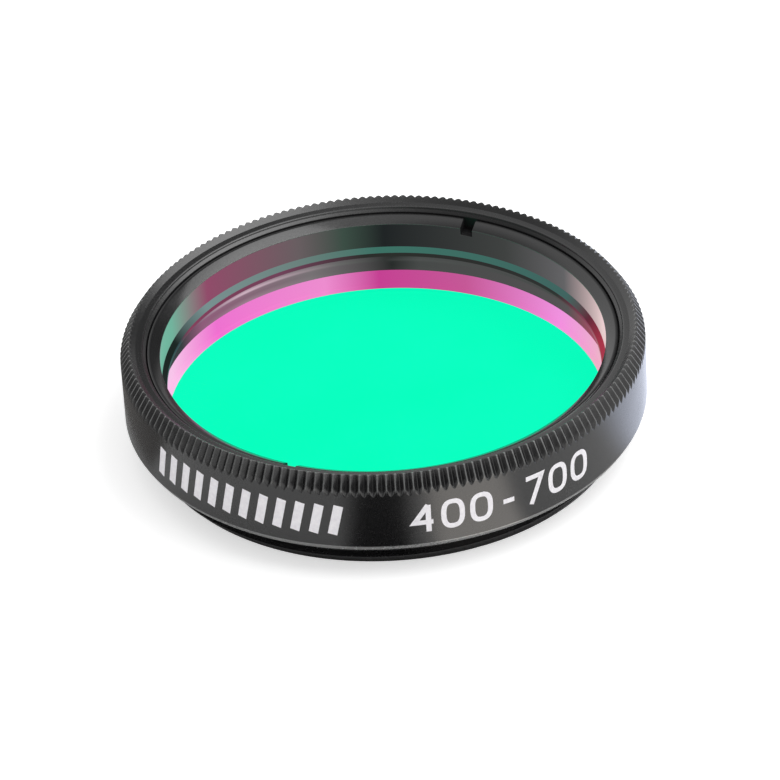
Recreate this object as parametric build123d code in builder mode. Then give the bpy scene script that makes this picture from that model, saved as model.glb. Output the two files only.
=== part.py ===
from build123d import *
from math import hypot, pi, radians, tan
import os

# Screw-in optical filter: a turned cell, a coated glass disc and a slotted ring.
# Millimetres. +Z is the optical axis; the origin is the centre of the face that
# the filter stands on, the end of its outside thread.

# Cell heights, from the thread's end up to the crest of the knurled rim
thread_length = 1.9
flange_height = 5.0

# Flange, its lower edge and the shoulder that it leaves round the thread
flange_r = 15.6
lower_edge_width = 0.2
lower_edge_height = 0.32
shoulder_width = 1.35

# Outside thread, M28.5 x 0.6, drawn as a plain cylinder over its crests, and the
# relief neck behind it
thread_depth = 0.32
neck_length = 0.35
neck_depth = 0.35

# Knurled rim: a steep outer chamfer, a narrow crest and a slope down to a land
rim_chamfer_width = 0.51
rim_chamfer_height = 0.76
crest_width = 0.08
inner_slope_width = 0.37
inner_slope_height = 0.31
land_width = 0.3

# Straight knurl across the outer chamfer
knurl_pitch = 0.512
groove_depth = 0.25
groove_half_angle = 40
groove_clear = 0.03
groove_overrun = 0.55

# Inside of the cell, from the mouth down to the seat for the glass
mouth_chamfer = 0.09
mouth_wall = 0.18
mouth_step = 0.19
neck_wall = 0.4
pocket_clearance = 0.05
pocket_below_glass_top = 0.2
seat_height = 1.35
seat_width = 0.37

# Coated glass disc
glass_thickness = 2.4
glass_bevel = 0.08

# Retaining ring that screws down on the glass
ring_thread_clearance = 0.03
ring_below_land = 0.32
ring_wall = 0.78
ring_edge = 0.08
ring_face_drop = 0.35
ring_ledge_height = 0.27
ring_bevel = 0.3

# Two slots across the ring's upper face, for a spanner
slot_width = 0.8
slot_depth = 0.8
slot_angle = 65.5

# Rim and mouth, from the flange's side inwards
crest_z = thread_length + flange_height
chamfer_foot_z = crest_z - rim_chamfer_height
crest_outer_r = flange_r - rim_chamfer_width
crest_inner_r = crest_outer_r - crest_width
land_outer_r = crest_inner_r - inner_slope_width
land_inner_r = land_outer_r - land_width
land_z = crest_z - inner_slope_height
mouth_r = land_inner_r - mouth_chamfer
mouth_foot_z = land_z - mouth_chamfer - mouth_wall
ring_thread_r = mouth_r - mouth_step

# Thread, neck, pocket and glass, from the flange's shoulder inwards
thread_crest_r = flange_r - shoulder_width
neck_r = thread_crest_r - neck_depth
pocket_r = neck_r - neck_wall
glass_r = pocket_r - pocket_clearance
aperture_r = glass_r - seat_width
glass_top_z = seat_height + glass_thickness
shoulder_z = glass_top_z - pocket_below_glass_top

# Ring, which fits the inside thread and fills the height from glass to mouth
ring_r = ring_thread_r - ring_thread_clearance
ring_top_z = land_z - ring_below_land
ring_face_r = ring_r - ring_edge
ring_bore_r = ring_r - ring_wall
ring_throat_r = ring_bore_r - ring_bevel
ledge_z = glass_top_z + ring_ledge_height

# The cell is turned from bar in one profile
with BuildPart() as filter_cell:
    with BuildSketch(Plane.XZ):
        with BuildLine():
            Polyline(
                (aperture_r, 0),
                (thread_crest_r - thread_depth, 0),
                (thread_crest_r, thread_depth),
                (thread_crest_r, thread_length - neck_length),
                (neck_r, thread_length - neck_length),
                (neck_r, thread_length),
                (flange_r - lower_edge_width, thread_length),
                (flange_r, thread_length + lower_edge_height),
                (flange_r, chamfer_foot_z),
                (crest_outer_r, crest_z),
                (crest_inner_r, crest_z),
                (land_outer_r, land_z),
                (land_inner_r, land_z),
                (mouth_r, land_z - mouth_chamfer),
                (mouth_r, mouth_foot_z),
                (ring_thread_r, mouth_foot_z - mouth_step),
                (ring_thread_r, shoulder_z),
                (pocket_r, shoulder_z),
                (pocket_r, seat_height),
                (aperture_r, seat_height),
                close=True,
            )
        make_face()
    revolve(axis=Axis.Z)

# One V groove of the knurl lies along the outer chamfer, runs out to a point on
# the flange's side and breaks through the crest at its upper end
chamfer_length = hypot(rim_chamfer_width, rim_chamfer_height)
chamfer_middle = Plane(
    origin=((flange_r + crest_outer_r) / 2, 0, (chamfer_foot_z + crest_z) / 2),
    x_dir=(rim_chamfer_height, 0, rim_chamfer_width),
    z_dir=(rim_chamfer_width, 0, -rim_chamfer_height),
)
groove_half_width = (groove_depth + groove_clear) * tan(radians(groove_half_angle))

with BuildPart() as knurl_groove:
    with BuildSketch(chamfer_middle):
        with BuildLine():
            Polyline(
                (-groove_depth, 0),
                (groove_clear, -groove_half_width),
                (groove_clear, groove_half_width),
                close=True,
            )
        make_face()
    extrude(amount=chamfer_length / 2 + groove_overrun, both=True)

# An even number of grooves keeps the rim alike on both sides
groove_count = 2 * round(pi * (flange_r + crest_outer_r) / 2 / knurl_pitch)

with filter_cell:
    with PolarLocations(0, groove_count):
        add(knurl_groove.part, mode=Mode.SUBTRACT)

# The glass is a plain disc with a fine bevel at both edges
with BuildPart() as filter_glass:
    with BuildSketch(Plane.XY.offset(seat_height)):
        Circle(glass_r)
    extrude(amount=glass_thickness)
    chamfer(filter_glass.edges(), glass_bevel)

# The ring's upper face falls towards its bore, and a bevel near the foot of the
# bore steps in to the throat that holds the glass down
with BuildPart() as retaining_ring:
    with BuildSketch(Plane.XZ):
        with BuildLine():
            Polyline(
                (ring_throat_r, glass_top_z),
                (ring_face_r, glass_top_z),
                (ring_r, glass_top_z + ring_edge),
                (ring_r, ring_top_z - ring_edge),
                (ring_face_r, ring_top_z),
                (ring_bore_r, ring_top_z - ring_face_drop),
                (ring_bore_r, ledge_z + ring_bevel),
                (ring_throat_r, ledge_z),
                close=True,
            )
        make_face()
    revolve(axis=Axis.Z)
    with BuildSketch(Plane.XY.offset(ring_top_z)):
        Rectangle(2 * ring_r + slot_width, slot_width, rotation=slot_angle)
    extrude(amount=-slot_depth, mode=Mode.SUBTRACT)

filter_cell.part.label = "filter_cell"
filter_glass.part.label = "filter_glass"
retaining_ring.part.label = "retaining_ring"

os.makedirs("parts", exist_ok=True)
for piece in (filter_cell.part, filter_glass.part, retaining_ring.part):
    export_step(piece, f"parts/{piece.label}.step")
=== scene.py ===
import math

import bpy
import numpy as np
from mathutils import Matrix


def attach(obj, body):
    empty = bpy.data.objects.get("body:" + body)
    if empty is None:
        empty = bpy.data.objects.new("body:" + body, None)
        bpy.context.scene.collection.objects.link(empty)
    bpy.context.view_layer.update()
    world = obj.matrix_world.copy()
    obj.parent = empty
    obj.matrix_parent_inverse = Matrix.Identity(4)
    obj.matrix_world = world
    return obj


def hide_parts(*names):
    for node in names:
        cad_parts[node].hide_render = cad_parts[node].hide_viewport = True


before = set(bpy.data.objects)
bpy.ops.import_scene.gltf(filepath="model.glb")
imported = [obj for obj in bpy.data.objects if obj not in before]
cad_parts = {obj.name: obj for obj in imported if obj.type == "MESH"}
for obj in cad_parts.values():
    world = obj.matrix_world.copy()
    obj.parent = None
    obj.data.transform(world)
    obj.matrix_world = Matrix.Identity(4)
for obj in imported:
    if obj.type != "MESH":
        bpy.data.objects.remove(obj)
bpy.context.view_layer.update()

# The cell: one piece turned from aluminium bar. Its rim rises to a narrow crest
# with a straight knurl across the outer chamfer, and its bore holds the glass. It
# is black anodised after turning, which leaves fine rings and thin bright edges.
mm = 0.001
flange_r = 15.6
flange_low_z = 2.27
plain_wall_z = 5.58
chamfer_foot = np.array([flange_r, 6.14])
crest_outer = np.array([15.09, 6.9])
crest_inner = np.array([15.01, 6.9])
slope_foot = np.array([14.64, 6.59])
knurl_r = 15.34
knurl_teeth = 188
knurl_depth = 0.25
knurl_half_angle = math.radians(40)
blunt_power = 0.55
lifted_share = 0.62
edge_break = 0.03


def eased(outline, reach):
    """A closed outline of r, z points with each corner B turned to a short curve.

    The curve is (1-t)^2 A + 2t(1-t) B + t^2 C for t = 0.05, 0.5 and 0.95, with A
    and C on the two sides that meet at B, reach millimetres from it, or a third of
    the side's length where that is less.
    """
    back = np.roll(outline, 1, 0) - outline
    ahead = np.roll(outline, -1, 0) - outline
    lengths = np.hypot(*back.T)[:, None], np.hypot(*ahead.T)[:, None]
    start = outline + back * np.minimum(reach / lengths[0], 1 / 3)
    end = outline + ahead * np.minimum(reach / lengths[1], 1 / 3)
    t = np.array([0.05, 0.5, 0.95])[None, :, None]
    curve = (1 - t) ** 2 * start[:, None] + t**2 * end[:, None]
    return (curve + 2 * t * (1 - t) * outline[:, None]).reshape(-1, 2)


def turned(r, z, angles):
    """Points x = r cos a, y = r sin a, z, in metres, for rows r, z and columns a."""
    x = r * np.cos(angles)
    y = r * np.sin(angles)
    return np.stack([x, y, np.broadcast_to(z, x.shape)], -1) * mm


def skin(name, points, close_rows=True, close_columns=True, ends=None):
    """A mesh object of four-sided faces over rows by columns of points.

    Face i, j joins points i, j and i, j+1 to i+1, j+1 and i+1, j, and the last row
    or column joins the first one where that direction is closed. ends holds lists
    of point numbers for the faces that close an open direction.
    """
    rows, columns = points.shape[:2]
    i = np.arange(rows if close_rows else rows - 1)[:, None]
    j = np.arange(columns if close_columns else columns - 1)[None, :]
    up, along = (i + 1) % rows, (j + 1) % columns
    corners = [i * columns + j, i * columns + along, up * columns + along, up * columns + j]
    quads = np.stack(np.broadcast_arrays(*corners), -1).reshape(-1, 4)
    faces = quads.tolist() + [list(face) for face in (ends or [])]
    mesh = bpy.data.meshes.new(name)
    mesh.from_pydata(points.reshape(-1, 3).tolist(), [], faces)
    mesh.shade_smooth()
    mesh.set_sharp_from_angle(angle=math.radians(28))
    piece = bpy.data.objects.new(name, mesh)
    bpy.context.scene.collection.objects.link(piece)
    return piece


def linear(hex_colour):
    """The linear colour of an sRGB hex value: (c + 0.055) / 1.055 to the power 2.4."""
    parts = np.array([int(hex_colour[k : k + 2], 16) for k in (1, 3, 5)]) / 255
    bright = ((parts + 0.055) / 1.055) ** 2.4
    return (*np.where(parts <= 0.04045, parts / 12.92, bright).tolist(), 1.0)


def node(tree, kind, links=None, stops=(), **settings):
    """Adds one node, with its plain settings, its inputs' values and its links.

    stops are the pairs of place and sRGB hex colour of a node that has a ramp.
    """
    made = tree.nodes.new(kind)
    for name, value in settings.items():
        setattr(made, name, value)
    for name, value in (links or {}).items():
        if isinstance(value, bpy.types.NodeSocket):
            tree.links.new(value, made.inputs[name])
        else:
            made.inputs[name].default_value = value
    for _ in stops[2:]:
        made.color_ramp.elements.new(0.5)
    for number, (place, _) in enumerate(stops):
        made.color_ramp.elements[number].position = place
    for number, (_, colour) in enumerate(stops):
        made.color_ramp.elements[number].color = linear(colour)
    return made


# Across each tooth the chamfer is cut by a V: a column x half pitches from the
# groove's middle lies x p / tan(half angle) - depth under the chamfer, at most 0.
# The roll that cuts it lifts towards the crest, so the V is shallower there, and
# leaves a blunt end on the side wall.
chamfer = crest_outer - chamfer_foot
chamfer_normal = np.array([chamfer[1], -chamfer[0]]) / np.hypot(*chamfer)
tooth = np.array([-0.88, -0.79, -0.42, -0.07, 0.07, 0.42, 0.79, 0.88])
half_pitch = math.pi / knurl_teeth
cell_angles = ((np.arange(knurl_teeth) * 2)[:, None] + tooth).ravel() * half_pitch
across = np.tile(np.abs(tooth), knurl_teeth) * half_pitch * knurl_r
sunk = np.minimum(across / math.tan(knurl_half_angle) - knurl_depth, 0)
blunt = -knurl_depth * (-sunk / knurl_depth) ** blunt_power
lifted = lifted_share * sunk

# The groove's floor runs parallel to the chamfer from the side wall to the crest
# or the inner slope. way counts 0 to 1 along the crest and 1 to 2 down the slope.
foot_z = chamfer_foot[1] + blunt / chamfer_normal[1]
floor_foot = np.stack([np.full_like(sunk, flange_r), foot_z])
crest_drop = (crest_inner - crest_outer) @ chamfer_normal
slope_drop = (slope_foot - crest_inner) @ chamfer_normal
on_slope = 1 + (lifted - crest_drop) / slope_drop
way = np.where(lifted > crest_drop, lifted / crest_drop, on_slope)


def rim_line(way):
    """r, z at 0 to 1 along the crest and 1 to 2 down the slope inside it."""
    crest = crest_outer[:, None] + np.clip(way, 0, 1) * (crest_inner - crest_outer)[:, None]
    return crest + np.clip(way - 1, 0, 1) * (slope_foot - crest_inner)[:, None]


floor_top = rim_line(way)
wall_start = np.array([[flange_r], [plain_wall_z]])
floor_length = np.hypot(*(floor_top - floor_foot))
short_of_foot = 1 - edge_break / (foot_z - plain_wall_z)
near_foot = wall_start + (floor_foot - wall_start) * short_of_foot
shares = [edge_break / floor_length, 0.3, 0.65, 1 - edge_break / floor_length]
bow = (0.0, 0.3, 0.25, 0.0)
grooved = []
for share, deeper in zip(shares, bow):
    straight = floor_foot + (floor_top - floor_foot) * share
    grooved.append(straight + deeper * (sunk - lifted) * chamfer_normal[:, None])
after = np.maximum(way + 0.07, 0.85)
knurled_rows = [
    np.array([[flange_r], [flange_low_z]]) + np.zeros_like(floor_foot),
    wall_start + np.zeros_like(floor_foot),
    (wall_start + floor_foot) / 2,
    near_foot,
    *grooved,
    rim_line(after),
    rim_line(np.maximum(after + 0.08, 1.06)),
    rim_line(1.55 + 0 * way),
    rim_line(1.93 + 0 * way),
]

# Mouth, inside thread, glass pocket, seat, aperture, thread core, neck, flange
cell_outline = np.array([
    [14.34, 6.56], [14.27, 6.52], [14.25, 6.44], [14.07, 6.3], [14.06, 3.55],
    [13.5, 3.55], [13.5, 1.34], [13.08, 1.34], [13.08, 0.0], [13.93, 0.0],
    [13.93, 1.53], [13.88, 1.56], [13.88, 1.9], [15.33, 1.9], [15.4, 1.9], [flange_r, 2.22],
])
whole_outline = np.vstack([cell_outline, [flange_r, 2.4], [14.6, 6.59]])
plain_rows = eased(whole_outline, edge_break)[: 3 * len(cell_outline)]
plain = np.repeat(plain_rows[:, :, None], len(cell_angles), 2)
cell_rows = np.concatenate([np.array(knurled_rows), plain])
cell = skin("threaded_cell", turned(cell_rows[:, 0], cell_rows[:, 1], cell_angles))

# Wear: above 0 on the edges that handling and the last cut leave bright. The rows
# are those of the teeth's lands, of the crest, and of the flange's lower bevel.
land_wear = 0.2
crest_wear = 0.05
bevel_wear = 0.45
wear = np.zeros(cell_rows[:, 0].shape)
tooth_land = sunk == 0
wear[3:9, tooth_land] = land_wear
wear[7:9] += crest_wear
wear[-6:] = bevel_wear
cell.data.attributes.new("bare_edge", "FLOAT", "POINT")
cell.data.attributes["bare_edge"].data.foreach_set("value", wear.ravel().astype(np.float32))


def lathe_marks(tree, spacing):
    """Rings of a turned face: noise that changes with r and z only, spacing mm wide."""
    place = node(tree, "ShaderNodeTexCoord").outputs["Object"]
    flat = node(tree, "ShaderNodeVectorMath", {0: place, 1: (1, 1, 0)}, operation="MULTIPLY")
    out = node(tree, "ShaderNodeVectorMath", {0: flat.outputs[0]}, operation="LENGTH")
    high = node(tree, "ShaderNodeSeparateXYZ", {"Vector": place}).outputs["Z"]
    both = node(tree, "ShaderNodeCombineXYZ", {"X": out.outputs["Value"], "Y": high})
    rings = {"Vector": both.outputs[0], "Scale": 1 / (spacing * mm), "Detail": 3.0}
    return node(tree, "ShaderNodeTexNoise", rings).outputs["Fac"]


def anodised(name, dark, light, roughness, bare):
    """Black anodised aluminium, turned: a dyed oxide layer with a satin gloss.

    The oxide is clear alumina over the dye, with an IOR of about 1.65. The tool
    leaves rings about 0.08 mm apart, and the oxide a grain of about 0.15 mm. Edges
    that are worn or cut last show bare metal.
    """
    made = bpy.data.materials.new(name)
    made.use_nodes = True
    tree = made.node_tree
    shader = tree.nodes["Principled BSDF"]
    place = node(tree, "ShaderNodeTexCoord").outputs["Object"]
    rings = lathe_marks(tree, 0.08)
    grain = node(tree, "ShaderNodeTexNoise", {"Vector": place, "Scale": 1 / (0.15 * mm)})
    cloud = node(tree, "ShaderNodeTexNoise", {"Vector": place, "Scale": 1 / (4 * mm)})
    mottle = node(tree, "ShaderNodeMath", {0: grain.outputs["Fac"], 1: cloud.outputs["Fac"]})
    shades = [(0.3, dark), (0.7, light)]
    colour = node(tree, "ShaderNodeValToRGB", {"Fac": rings}, shades).outputs["Color"]
    edge = node(tree, "ShaderNodeAttribute", attribute_name="bare_edge").outputs["Fac"]
    patchy = node(tree, "ShaderNodeMapRange", {
        "Value": grain.outputs["Fac"], "From Min": 0.35, "From Max": 0.6,
        "To Min": 0.75, "To Max": 1.0,
    })
    worn = node(tree, "ShaderNodeMath", {0: edge, 1: patchy.outputs[0]}, operation="MULTIPLY")
    mixed = node(tree, "ShaderNodeMix", {
        "Factor": worn.outputs[0], "A": colour, "B": linear(bare),
    }, data_type="RGBA")
    rough = node(tree, "ShaderNodeMapRange", {
        "Value": mottle.outputs[0], "From Min": 0.7, "From Max": 1.3,
        "To Min": roughness - 0.03, "To Max": roughness + 0.04,
    })
    height = node(tree, "ShaderNodeMath", {
        0: rings, 1: 0.7, 2: grain.outputs["Fac"],
    }, operation="MULTIPLY_ADD")
    bump = node(tree, "ShaderNodeBump", {
        "Height": height.outputs[0], "Strength": 0.05, "Distance": 0.01 * mm,
    })
    shader.inputs["IOR"].default_value = 1.65
    tree.links.new(worn.outputs[0], shader.inputs["Metallic"])
    tree.links.new(mixed.outputs["Result"], shader.inputs["Base Color"])
    tree.links.new(rough.outputs[0], shader.inputs["Roughness"])
    tree.links.new(bump.outputs[0], shader.inputs["Normal"])
    return made


black_anodised = anodised("black_anodised_aluminium", "#111112", "#171718", 0.25, "#c9cac9")

# Inside the mouth the oxide is the same, but the inside thread breaks up its gloss,
# and the gloss is turned down further as painted shade, which the ring's slots share.
# Each corner of the outline has become three rows, so corner 3 starts at row 9.
shaded_thread_black = anodised("black_anodised_inside_thread_painted_shade", "#101011", "#161617", 0.5, "#a0a0a0")
shaded_thread_black.node_tree.nodes["Principled BSDF"].inputs["Specular IOR Level"].default_value = 0.12
cell.data.materials.append(black_anodised)
cell.data.materials.append(shaded_thread_black)
inside_from = len(knurled_rows) + 3 * 3 + 1
inside_to = len(knurled_rows) + 3 * 8
cell_finish = np.zeros(len(cell_rows), np.int32)
cell_finish[inside_from:inside_to] = 1
cell_faces = np.repeat(cell_finish, len(cell_angles))
cell.data.polygons.foreach_set("material_index", cell_faces.astype(np.int32))
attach(cell, "root")
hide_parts("filter_cell")

# The outside thread: M28.5 x 0.6, cut on the cell's lower end in one pass and
# anodised with it. It starts at the end chamfer and runs out at the relief neck.
# The ridge lies on r, z of its section, shrunk by runout near both ends of the
# helix, and the 45 degree end chamfer cuts it off at r = end_r + z.
thread_pitch = 0.6
core_r = 13.93
crest_r = 14.25
root_r = core_r - 0.04
end_r = core_r - 0.002
first_turn = -0.2
last_turn = 2.28
runout_turns = 0.12
start_z = 0.08
thread_low = 0.004
thread_high = 1.52
thread_steps = 720
turn = np.linspace(first_turn, last_turn, thread_steps)
runout = np.clip(np.minimum(turn - first_turn, last_turn - turn) / runout_turns, 0.05, 1)
section_r = np.array([root_r, crest_r, crest_r, root_r])[:, None]
section_z = np.array([-0.25, -0.05, 0.05, 0.25])[:, None]
thread_z = start_z + thread_pitch * turn + section_z * runout
thread_z = np.clip(thread_z, thread_low, thread_high)
thread_r = root_r + (section_r - root_r) * runout
thread_r = np.minimum(thread_r, end_r + thread_z)
thread_points = turned(thread_r, thread_z, 2 * math.pi * turn)
thread_caps = [[0, thread_steps, 2 * thread_steps, 3 * thread_steps]]
thread_caps.append([(4 - k) * thread_steps - 1 for k in range(4)])
thread = skin("outside_thread", thread_points, close_columns=False, ends=thread_caps)
thread.data.materials.append(black_anodised)
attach(thread, "root")

# The coated glass: a flat polished disc with a fine bevel. The lower face carries
# the interference coating, whose bright blue-green, and pink at its rim, are painted
# as a glow. The upper face has an antireflection coating, so it is hardly seen.
glass_r = 13.45
glass_bevel = 0.08
glass_low = 1.352
glass_high = 3.745
coat_r = 13.08
pink_top = 2.45
side_top = 3.72
glass_rows = np.array([
    [0.02, glass_low], [4.0, glass_low], [8.0, glass_low], [coat_r - 0.01, glass_low],
    [coat_r, glass_low], [glass_r - glass_bevel, glass_low], [glass_r, glass_low + glass_bevel],
    [glass_r, pink_top], [glass_r, 3.1], [glass_r, glass_high - glass_bevel],
    [glass_r - glass_bevel, glass_high], [9.0, glass_high], [4.0, glass_high], [0.02, glass_high],
])
glass_columns = 360
glass_angles = np.arange(glass_columns) * 2 * math.pi / glass_columns
glass_points = turned(glass_rows[:, :1], glass_rows[:, 1:], glass_angles)
glass_ends = [list(range(glass_columns))[::-1]]
top_row = len(glass_rows) - 1
glass_ends.append([top_row * glass_columns + k for k in range(glass_columns)])
glass = skin("coated_glass_disc", glass_points, close_rows=False, ends=glass_ends)


def around(tree):
    """0 at +X, 0.5 at +Y or -Y and 1 at -X: atan2(|y|, x) over half a turn."""
    place = node(tree, "ShaderNodeTexCoord").outputs["Object"]
    axes = node(tree, "ShaderNodeSeparateXYZ", {"Vector": place})
    far = node(tree, "ShaderNodeMath", {0: axes.outputs["Y"]}, operation="ABSOLUTE")
    turn = node(tree, "ShaderNodeMath", {
        0: far.outputs[0], 1: axes.outputs["X"],
    }, operation="ARCTAN2")
    half = node(tree, "ShaderNodeMath", {0: turn.outputs[0], 1: math.pi}, operation="DIVIDE")
    return half.outputs[0]


def up_share(tree, low, high):
    """0 at height low and 1 at height high, in millimetres."""
    place = node(tree, "ShaderNodeTexCoord").outputs["Object"]
    axes = node(tree, "ShaderNodeSeparateXYZ", {"Vector": place})
    share = {"Value": axes.outputs["Z"], "From Min": low * mm, "From Max": high * mm}
    return node(tree, "ShaderNodeMapRange", share).outputs[0]


def sheen_film(name, paint, roughness, gloss):
    """A surface with a painted tint: mostly emission, over a base a tenth as bright.

    The tint stands for the light that a thin film sends back, or for what a smooth
    dark surface close to that film mirrors. It stays the same under other light.
    """
    made = bpy.data.materials.new(name)
    made.use_nodes = True
    tree = made.node_tree
    shader = tree.nodes["Principled BSDF"]
    colour = paint(tree)
    dim = node(tree, "ShaderNodeMix", {
        "Factor": 0.9, "A": colour, "B": (0, 0, 0, 1),
    }, data_type="RGBA")
    tree.links.new(dim.outputs["Result"], shader.inputs["Base Color"])
    tree.links.new(colour, shader.inputs["Emission Color"])
    shader.inputs["Emission Strength"].default_value = 0.95
    shader.inputs["Roughness"].default_value = roughness
    shader.inputs["Specular IOR Level"].default_value = gloss
    return made


def coating_glow_paint(tree):
    """Painted glow of the coating: blue-green, with soft clouds 6 mm wide that change the tint by
    under 2 percent.
    """
    place = node(tree, "ShaderNodeTexCoord").outputs["Object"]
    film = node(tree, "ShaderNodeTexNoise", {"Vector": place, "Scale": 1 / (6 * mm)})
    tints = [(0.3, "#08ffbd"), (0.7, "#0cffc1")]
    return node(tree, "ShaderNodeValToRGB", {"Fac": film.outputs["Fac"]}, tints).outputs["Color"]


def rim_glow_paint(tree):
    """Painted glow of the coating's rim: deep magenta at front and back, and pale pink towards
    the sides.
    """
    tints = [
        (0.08, "#f0b0c8"), (0.2, "#f490e0"), (0.37, "#c85898"), (0.5, "#c84094"),
        (0.58, "#f08cd0"), (0.77, "#f070d0"), (0.9, "#f8c0e8"),
    ]
    return node(tree, "ShaderNodeValToRGB", {"Fac": around(tree)}, tints).outputs["Color"]


def edge_reflection_paint(tree):
    """Painted reflections on the ground side of the glass: dark grey with soft pale streaks on
    one side.
    """
    turn = {"Fac": around(tree)}
    high = {"Fac": up_share(tree, pink_top, side_top)}
    dark = node(tree, "ShaderNodeValToRGB", turn, [
        (0.08, "#b83860"), (0.18, "#585054"), (0.44, "#484848"), (0.48, "#282828"),
        (0.6, "#787074"), (0.8, "#905878"), (0.86, "#343038"),
    ])
    pale = node(tree, "ShaderNodeValToRGB", turn, [
        (0.08, "#882044"), (0.22, "#484848"), (0.44, "#505050"), (0.49, "#343434"),
        (0.56, "#6c6a6a"), (0.71, "#d8b8c8"), (0.83, "#684060"), (0.88, "#242428"),
    ])
    # By height: where the pale painted reflections show, brightest in a painted highlight band
    bands = node(tree, "ShaderNodeValToRGB", high, [
        (0.0, "#888888"), (0.3, "#000000"), (0.48, "#404040"), (0.58, "#ffffff"),
        (0.8, "#303030"), (0.92, "#000000"),
    ])
    both = node(tree, "ShaderNodeMix", {
        "Factor": bands.outputs["Color"], "A": dark.outputs["Color"], "B": pale.outputs["Color"],
    }, data_type="RGBA")
    # Painted shade towards the top of the ground side
    shade = node(tree, "ShaderNodeValToRGB", high, [(0.8, "#000000"), (0.96, "#c8c8c8")])
    return node(tree, "ShaderNodeMix", {
        "Factor": shade.outputs["Color"], "A": both.outputs["Result"], "B": linear("#181819"),
    }, data_type="RGBA").outputs["Result"]


# The coating's painted glow is bright and even over the clear aperture, and pink
# where the seat lies behind it. The ground side carries painted reflections: grey,
# with pale streaks, a painted highlight band and painted shade towards its top.
coating = sheen_film("interference_coating_painted_glow", coating_glow_paint, 0.6, 0.0)
pink_rim_glow = sheen_film("coating_rim_painted_glow", rim_glow_paint, 0.5, 0.02)
ground_edge_reflections = sheen_film("ground_glass_edge_painted_reflections", edge_reflection_paint, 0.4, 0.03)

# Optical glass under an antireflection coating: clear, with next to no gloss
clear_face = bpy.data.materials.new("antireflection_coated_glass")
clear_face.use_nodes = True
clear_tree = clear_face.node_tree
clear_shader = clear_tree.nodes["Principled BSDF"]
clear_place = node(clear_tree, "ShaderNodeTexCoord").outputs["Object"]
dust = node(clear_tree, "ShaderNodeTexNoise", {"Vector": clear_place, "Scale": 1 / (0.4 * mm)})
dust_tints = [(0.3, "#0c2f28"), (0.7, "#123a32")]
dust_colour = node(clear_tree, "ShaderNodeValToRGB", {"Fac": dust.outputs["Fac"]}, dust_tints)
clear_tree.links.new(dust_colour.outputs["Color"], clear_shader.inputs["Base Color"])
clear_shader.inputs["Roughness"].default_value = 0.05
clear_shader.inputs["Alpha"].default_value = 0.02

for finish in (coating, pink_rim_glow, ground_edge_reflections, clear_face):
    glass.data.materials.append(finish)
row_finish = np.array([0, 0, 0, 0, 1, 1, 1, 2, 2, 3, 3, 3, 3])
face_finish = np.append(np.repeat(row_finish, glass_columns), [0, 3]).astype(np.int32)
glass.data.polygons.foreach_set("material_index", face_finish)
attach(glass, "root")
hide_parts("filter_glass")

# The retaining ring: turned from the same aluminium and anodised, with a face that
# falls towards the bore and two slots for a spanner. It screws down on the glass.
ring_outline = np.array([
    [14.03, 3.83], [14.03, 6.19], [13.96, 6.25], [13.8, 6.24], [13.25, 5.92], [13.25, 4.32],
    [12.95, 4.02], [12.95, 3.75], [13.95, 3.75],
])
slot_floor = 5.47
slot_width = 0.8
slot_middle_r = 13.65
slot_angle = math.radians(65.5)
slot_half = math.asin(slot_width / 2 / slot_middle_r)
slot_wall_turn = 4e-4
slot_room = 0.034


def off_slot(angles):
    """The angle to the nearer slot's middle: |((a - slot + pi/2) mod pi) - pi/2|."""
    return np.abs((angles - slot_angle + math.pi / 2) % math.pi - math.pi / 2)


# The columns stand closer at the slots' walls, so that the walls come out upright
slot_ends = slot_angle + np.array([0, math.pi])[:, None] + np.array([-slot_half, slot_half])
slot_walls = (slot_ends[:, :, None] + np.array([-slot_wall_turn, slot_wall_turn])).ravel()
slot_middle = (slot_ends.mean(1)[:, None] + np.array([-0.5, 0, 0.5]) * slot_half).ravel()
ring_columns = 480
even_angles = np.arange(ring_columns) * 2 * math.pi / ring_columns
clear_of_slot = even_angles[off_slot(even_angles) > slot_room]
ring_angles = np.sort(np.concatenate([clear_of_slot, slot_walls, slot_middle]))
ring_rows = eased(ring_outline, 0.025)
in_slot = off_slot(ring_angles) < slot_half
ring_z = np.repeat(ring_rows[:, 1:], len(ring_angles), 1)
sunk_z = slot_floor + 0.01 * (ring_z - slot_floor)
ring_z = np.where(in_slot & (ring_z > slot_floor), sunk_z, ring_z)
retaining_ring = skin("slotted_retaining_ring", turned(ring_rows[:, :1], ring_z, ring_angles))

# Each corner of the outline is three rows: corner 4 is the bore's upper edge, 5 and
# 6 are the bevel's, and 7 is the throat's foot on the glass
face_rows = 3 * 4 + 2
bevel_from = 3 * 5 + 2
throat_from = 3 * 6 + 1
throat_to = 3 * 7 + 1
ring_wear = np.zeros(ring_z.shape)
ring_wear[3 * 4 + 1] = 0.4
retaining_ring.data.attributes.new("bare_edge", "FLOAT", "POINT")
ring_edge = retaining_ring.data.attributes["bare_edge"]
ring_edge.data.foreach_set("value", ring_wear.ravel().astype(np.float32))


def bore_paint(tree):
    """What the bore mirrors: the coating's pink and green at -X, and pale light at +X."""
    tints = [
        (0.04, "#e8c4c8"), (0.18, "#646064"), (0.3, "#404040"), (0.49, "#202224"),
        (0.55, "#3c4c44"), (0.62, "#685c60"), (0.79, "#904868"), (0.9, "#70ac98"),
    ]
    return node(tree, "ShaderNodeValToRGB", {"Fac": around(tree)}, tints).outputs["Color"]


def bevel_paint(tree):
    """What the bevel above the glass mirrors: mostly the coating's teal."""
    tints = [
        (0.03, "#a83448"), (0.1, "#602838"), (0.17, "#406460"), (0.5, "#3c7064"),
        (0.62, "#687e7a"), (0.8, "#748c8c"), (0.9, "#182420"),
    ]
    return node(tree, "ShaderNodeValToRGB", {"Fac": around(tree)}, tints).outputs["Color"]


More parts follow.
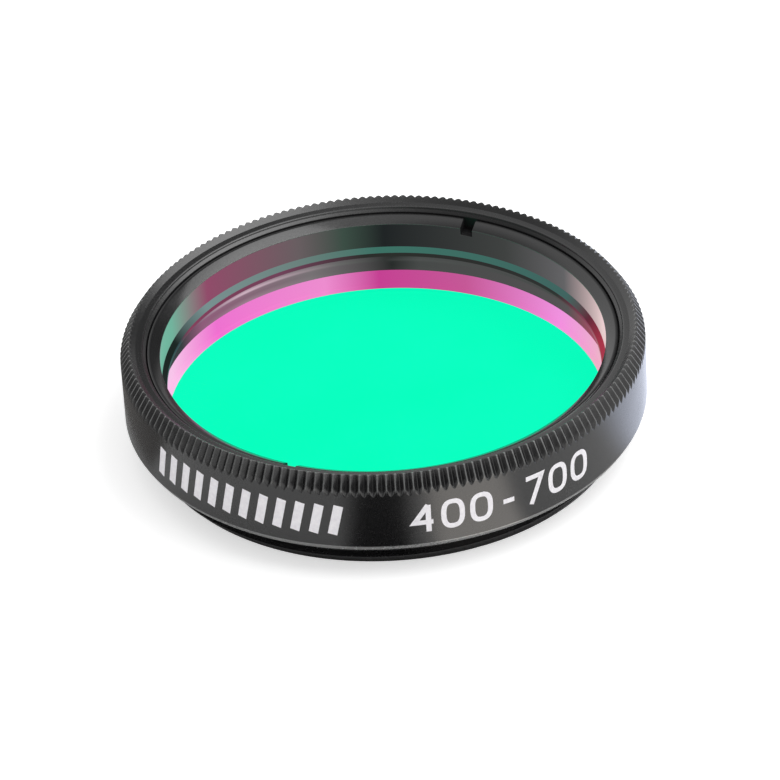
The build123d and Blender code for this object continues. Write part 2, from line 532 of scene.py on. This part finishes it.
def throat_paint(tree):
    """Painted shade in the throat, with a little painted reflection of the coating's red at the
    sides.
    """
    tints = [
        (0.04, "#a84460"), (0.1, "#882850"), (0.19, "#302c2e"), (0.52, "#2c2c2a"),
        (0.65, "#704058"), (0.85, "#843458"), (0.89, "#303040"),
    ]
    return node(tree, "ShaderNodeValToRGB", {"Fac": around(tree)}, tints).outputs["Color"]


# The ring is anodised as the cell is, but turned finer, so its gloss is sharper. Its
# bore, bevel and throat lie close above the coating: its tints on them are painted
# reflections, given as a glow, and the throat's dark is painted shade.
ring_black = anodised("black_anodised_ring", "#131314", "#1b1b1c", 0.16, "#9c9d9c")
bore_painted_reflection = sheen_film("anodised_bore_under_coating_light", bore_paint, 0.3, 0.02)
bevel_painted_reflection = sheen_film("anodised_bevel_under_coating_light", bevel_paint, 0.3, 0.02)
throat_shade_and_reflection = sheen_film("anodised_throat_in_shade", throat_paint, 0.3, 0.02)
for finish in (ring_black, bore_painted_reflection, bevel_painted_reflection, throat_shade_and_reflection, shaded_thread_black):
    retaining_ring.data.materials.append(finish)
ring_finish = np.zeros(len(ring_rows), np.int32)
ring_finish[face_rows:bevel_from] = 1
ring_finish[bevel_from:throat_from] = 2
ring_finish[throat_from:throat_to] = 3
ring_faces = np.repeat(ring_finish[:, None], len(ring_angles), 1)
# The slots take the inside thread's finish, whose low gloss is painted shade
slot_faces = in_slot | np.roll(in_slot, -1)
ring_faces[:face_rows] = np.where(slot_faces, 4, ring_faces[:face_rows])
retaining_ring.data.polygons.foreach_set("material_index", ring_faces.ravel().astype(np.int32))
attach(retaining_ring, "root")
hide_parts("retaining_ring")

# The printed marks: white ink on the flange's side, baked after anodising. At the
# left a row of plain slanted bars, at the right plain numbers. Each stroke is a
# flat ribbon that is bent round the flange.
ink_r = 15.606
ink_low = 3.06
ink_height = 2.0


def ribbon(path, width):
    """One stroke: a thin four-sided section carried along a path of s, z points.

    s is the distance round the flange in mm and z the height. The two long edges
    lie half the width to each side of the path, on the line that halves its corners.
    """
    path = np.array(path, float)
    steps = np.maximum(np.ceil(np.hypot(*np.diff(path, axis=0).T) / 0.15).astype(int), 1)
    pieces = [np.linspace(a, b, n, endpoint=False) for a, b, n in zip(path, path[1:], steps)]
    fine = np.vstack([*pieces, path[-1:]])
    run = np.diff(fine, axis=0)
    run = run / np.hypot(*run.T)[:, None]
    before = np.vstack([run[:1], run])
    after = np.vstack([run, run[-1:]])
    halved = (before + after) / (1 + (before * after).sum(1))[:, None]
    aside = np.stack([-halved[:, 1], halved[:, 0]], -1) * width / 2
    left, right = fine + aside, fine - aside
    flat = np.stack([left, right, right, left])
    depth = np.array([0, 0, -0.008, -0.008])[:, None] + ink_r
    return turned(depth, flat[:, :, 1], flat[:, :, 0] / flange_r)


def printed(name, strokes):
    """One mesh of all the strokes, each a closed ribbon."""
    points, faces, start = [], [], 0
    for path, width in strokes:
        grid = ribbon(path, width)
        n = grid.shape[1]
        j = np.arange(n - 1)
        for row in range(4):
            up = (row + 1) % 4
            quad = np.stack([row * n + j, up * n + j, up * n + j + 1, row * n + j + 1], -1)
            faces += (quad + start).tolist()
        faces.append([start + row * n for row in (3, 2, 1, 0)])
        faces.append([start + row * n + n - 1 for row in range(4)])
        points += grid.reshape(-1, 3).tolist()
        start += 4 * n
    mesh = bpy.data.meshes.new(name)
    mesh.from_pydata(points, [], faces)
    piece = bpy.data.objects.new(name, mesh)
    bpy.context.scene.collection.objects.link(piece)
    return piece


def round_stroke(left, low, width, height):
    """A nought: x = w/2 |cos t|^0.75, z = h/2 |sin t|^0.75, with their signs."""
    t = np.linspace(0, 2 * math.pi, 41)
    x = np.sign(np.cos(t)) * np.abs(np.cos(t)) ** 0.75 * width / 2
    z = np.sign(np.sin(t)) * np.abs(np.sin(t)) ** 0.75 * height / 2
    return np.stack([left + width / 2 + x, low + height / 2 + z], -1)


bar_from = math.radians(-148.6) * flange_r
bar_count = 12
bar_pitch = 1.13
bar_slant = 0.45
bar_width = 0.56
bar_strokes = []
for k in range(bar_count):
    foot = bar_from + bar_pitch * k
    bar_path = [(foot, ink_low), (foot + bar_slant, ink_low + ink_height)]
    bar_strokes.append((bar_path, bar_width))
bars = printed("printed_bars", bar_strokes)

number_width = 0.31
number_pitch = 1.72
digit = 1.1
dash_inset = 0.2
number_from = math.radians(-85.5) * flange_r
inner_low = ink_low + number_width / 2
inner_height = ink_height - number_width
top = inner_low + inner_height
number_strokes = []
for k, sign in enumerate("400-700"):
    left = number_from + number_pitch * k
    if sign == "0":
        number_strokes.append((round_stroke(left, inner_low, digit, inner_height), number_width))
    if sign == "4":
        bar_z = inner_low + 0.3 * inner_height
        stem = left + 0.75 * digit
        number_strokes.append(([(stem, inner_low - number_width / 2), (stem, top)], number_width))
        number_strokes.append(([(stem, top), (left, bar_z), (left + digit, bar_z)], number_width))
    if sign == "7":
        foot = (left + 0.3 * digit, inner_low - number_width / 2)
        number_strokes.append(([(left, top), (left + digit, top), foot], number_width))
    if sign == "-":
        middle = inner_low + 0.42 * inner_height
        ends = [(left + dash_inset, middle), (left + digit - dash_inset, middle)]
        number_strokes.append((ends, number_width))
numbers = printed("printed_numbers", number_strokes)

# White screen ink: matt, dense, with a slightly uneven lay
ink = bpy.data.materials.new("white_screen_ink")
ink.use_nodes = True
ink_tree = ink.node_tree
ink_shader = ink_tree.nodes["Principled BSDF"]
ink_place = node(ink_tree, "ShaderNodeTexCoord").outputs["Object"]
lay = node(ink_tree, "ShaderNodeTexNoise", {"Vector": ink_place, "Scale": 1 / (0.25 * mm)})
ink_tints = [(0.3, "#efecf1"), (0.7, "#faf8fb")]
ink_colour = node(ink_tree, "ShaderNodeValToRGB", {"Fac": lay.outputs["Fac"]}, ink_tints)
ink_bump = node(ink_tree, "ShaderNodeBump", {
    "Height": lay.outputs["Fac"], "Strength": 0.15, "Distance": 0.01 * mm,
})
ink_tree.links.new(ink_colour.outputs["Color"], ink_shader.inputs["Base Color"])
ink_tree.links.new(ink_bump.outputs[0], ink_shader.inputs["Normal"])
ink_shader.inputs["Roughness"].default_value = 0.55
for mark in (bars, numbers):
    mark.data.materials.append(ink)
    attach(mark, "root")

# The stand: a plain white table and backdrop, with soft light from above and to
# the right. Dark and bright cards near the table are seen only as reflections.
floor_mesh = bpy.data.meshes.new("white_table")
reach = 4.0
floor_corners = [(-reach, -reach, 0), (reach, -reach, 0), (reach, reach, 0), (-reach, reach, 0)]
floor_mesh.from_pydata(floor_corners, [], [(0, 1, 2, 3)])
floor = bpy.data.objects.new("white_table", floor_mesh)
bpy.context.scene.collection.objects.link(floor)
table_white = bpy.data.materials.new("matt_white_table")
table_white.use_nodes = True
table_tree = table_white.node_tree
table_tree.nodes.remove(table_tree.nodes["Principled BSDF"])
matt = node(table_tree, "ShaderNodeBsdfDiffuse", {"Color": linear("#f4f4f4")})
lift = node(table_tree, "ShaderNodeEmission", {"Color": linear("#ffffff"), "Strength": 0.5})
both = node(table_tree, "ShaderNodeAddShader", {0: matt.outputs[0], 1: lift.outputs[0]})
ray = node(table_tree, "ShaderNodeLightPath")
seen = node(table_tree, "ShaderNodeMixShader", {
    0: ray.outputs["Is Camera Ray"], 1: matt.outputs[0], 2: both.outputs[0],
})
table_out = table_tree.nodes["Material Output"]
table_tree.links.new(seen.outputs[0], table_out.inputs["Surface"])
floor_mesh.materials.append(table_white)

world = bpy.data.worlds.new("studio")
bpy.context.scene.world = world
world.use_nodes = True
sky_tree = world.node_tree
sky = sky_tree.nodes["Background"]
sky.inputs["Color"].default_value = linear("#ffffff")
sky.inputs["Strength"].default_value = 0.7
sky_ray = node(sky_tree, "ShaderNodeLightPath")
white_sky = node(sky_tree, "ShaderNodeBackground", {"Color": linear("#ffffff"), "Strength": 1.0})

# Metal mirrors the white studio too, with a black flag behind at the right, above
# the backdrop, and a darker corner in front at the left
sky_place = node(sky_tree, "ShaderNodeTexCoord").outputs["Generated"]
flag_way = (0.451, 0.701, 0.552)
corner_way = (-0.755, -0.554, 0.352)
to_flag = node(sky_tree, "ShaderNodeVectorMath", {
    0: sky_place, 1: flag_way,
}, operation="DOT_PRODUCT").outputs["Value"]
to_corner = node(sky_tree, "ShaderNodeVectorMath", {
    0: sky_place, 1: corner_way,
}, operation="DOT_PRODUCT").outputs["Value"]
flag_greys = [(0.74, "#f3f3f3"), (0.85, "#c2c2c2"), (0.93, "#585858")]
corner_greys = [(0.5, "#ffffff"), (0.82, "#8c8c8c")]
flag = node(sky_tree, "ShaderNodeValToRGB", {"Fac": to_flag}, flag_greys)
corner = node(sky_tree, "ShaderNodeValToRGB", {"Fac": to_corner}, corner_greys)
studio = node(sky_tree, "ShaderNodeMix", {
    "Factor": 1.0, "A": flag.outputs["Color"], "B": corner.outputs["Color"],
}, data_type="RGBA", blend_type="MULTIPLY")
mirrored = node(sky_tree, "ShaderNodeBackground", {"Color": studio.outputs["Result"]})
sky_mirrored = node(sky_tree, "ShaderNodeMixShader", {
    0: sky_ray.outputs["Is Glossy Ray"], 1: sky.outputs[0], 2: mirrored.outputs[0],
})
sky_seen = node(sky_tree, "ShaderNodeMixShader", {
    0: sky_ray.outputs["Is Camera Ray"], 1: sky_mirrored.outputs[0], 2: white_sky.outputs[0],
})
sky_tree.links.new(sky_seen.outputs[0], sky_tree.nodes["World Output"].inputs["Surface"])


softbox_way = (0.59, 0.03, 0.8)
softbox_distance = 0.56
softbox_width = 0.6
softbox_height = 0.5


def softbox(name, radiance):
    """A flat lamp that faces the object, with watts = pi x area x radiance."""
    lamp = bpy.data.lights.new(name, "AREA")
    lamp.shape = "RECTANGLE"
    lamp.size = softbox_width
    lamp.size_y = softbox_height
    lamp.energy = math.pi * softbox_width * softbox_height * radiance
    holder = bpy.data.objects.new(name, lamp)
    bpy.context.scene.collection.objects.link(holder)
    way = np.array(softbox_way) / np.linalg.norm(softbox_way)
    forward = -way
    side = np.cross(forward, (0, 0, 1))
    side = side / np.linalg.norm(side)
    top = np.cross(side, forward)
    turn = Matrix((side, top, way)).transposed().to_4x4()
    holder.matrix_world = Matrix.Translation(way * softbox_distance) @ turn
    holder.visible_camera = False
    return holder


# The second lamp is the softbox's bright cloth, which only gloss sees
softbox("softbox_above_right", 1.7)
front_cloth = softbox("softbox_front_cloth", 9.0)
front_cloth.visible_diffuse = False

card_steps = 41
card_height = 0.02


def card(name, turn_from, turn_to, soft, near, far, colour, strength):
    """A card on the table: a ring sector from turn_from to turn_to degrees.

    Both ends fade over soft degrees, as 3t^2 - 2t^3 of the share t of that way.
    """
    turn = np.linspace(turn_from, turn_to, card_steps)
    share = np.clip(np.minimum(turn - turn_from, turn_to - turn) / soft, 0, 1)
    fade = 3 * share**2 - 2 * share**3
    turn = np.radians(turn)
    rim = np.stack([np.cos(turn), np.sin(turn), np.full(card_steps, card_height / near)], -1)
    points = np.vstack([rim * near, rim * (far, far, near)]) * mm
    j = np.arange(card_steps - 1)
    quads = np.stack([j, j + card_steps, j + card_steps + 1, j + 1], -1)
    sheet = bpy.data.meshes.new(name)
    sheet.from_pydata(points.tolist(), [], quads.tolist())
    sheet.attributes.new("fade", "FLOAT", "POINT")
    sheet.attributes["fade"].data.foreach_set("value", np.tile(fade, 2).astype(np.float32))
    paper = bpy.data.materials.new(name + "_paper")
    paper.use_nodes = True
    paper_tree = paper.node_tree
    paper_tree.nodes.remove(paper_tree.nodes["Principled BSDF"])
    glow = node(paper_tree, "ShaderNodeEmission", {"Color": linear(colour), "Strength": strength})
    clear = node(paper_tree, "ShaderNodeBsdfTransparent")
    edge = node(paper_tree, "ShaderNodeAttribute", attribute_name="fade").outputs["Fac"]
    soft_edge = node(paper_tree, "ShaderNodeMixShader", {
        0: edge, 1: clear.outputs[0], 2: glow.outputs[0],
    })
    paper_out = paper_tree.nodes["Material Output"]
    paper_tree.links.new(soft_edge.outputs[0], paper_out.inputs["Surface"])
    sheet.materials.append(paper)
    laid = bpy.data.objects.new(name, sheet)
    bpy.context.scene.collection.objects.link(laid)
    laid.visible_camera = False
    laid.visible_diffuse = False
    laid.visible_shadow = False


card("dark_card_in_front", -105, -82, 6, 15.9, 60, "#101010", 1.0)
card("bright_card_in_front", -82, -54, 5, 15.9, 60, "#fffaf4", 2.3)
card("bright_card_at_right", -24, 60, 16, 15.9, 60, "#e8eeff", 1.9)
card("grey_card_at_left", 140, 198, 6, 17.3, 60, "#7c7a78", 1.0)

# The camera stands where the photograph was taken from: 34 degrees above the
# table, 0.31 m away, and turned by 3.3 degrees, with a narrow field of view.
camera_place = (0.0002717, -0.257495, 0.175649)
looks_down = 0.591878964
rolled = -0.0580947514
camera_data = bpy.data.cameras.new("camera")
camera_data.lens = 239.709
camera_data.sensor_width = 36.0
camera_data.clip_start = 0.01
camera_data.clip_end = 20.0
camera = bpy.data.objects.new("camera", camera_data)
bpy.context.scene.collection.objects.link(camera)
tilt = Matrix.Rotation(math.radians(90) - looks_down, 4, "X")
roll = Matrix.Rotation(rolled, 4, "Z")
camera.matrix_world = Matrix.Translation(camera_place) @ tilt @ roll
bpy.context.scene.camera = camera
bpy.context.scene.view_settings.view_transform = "Standard"

bpy.context.view_layer.update()
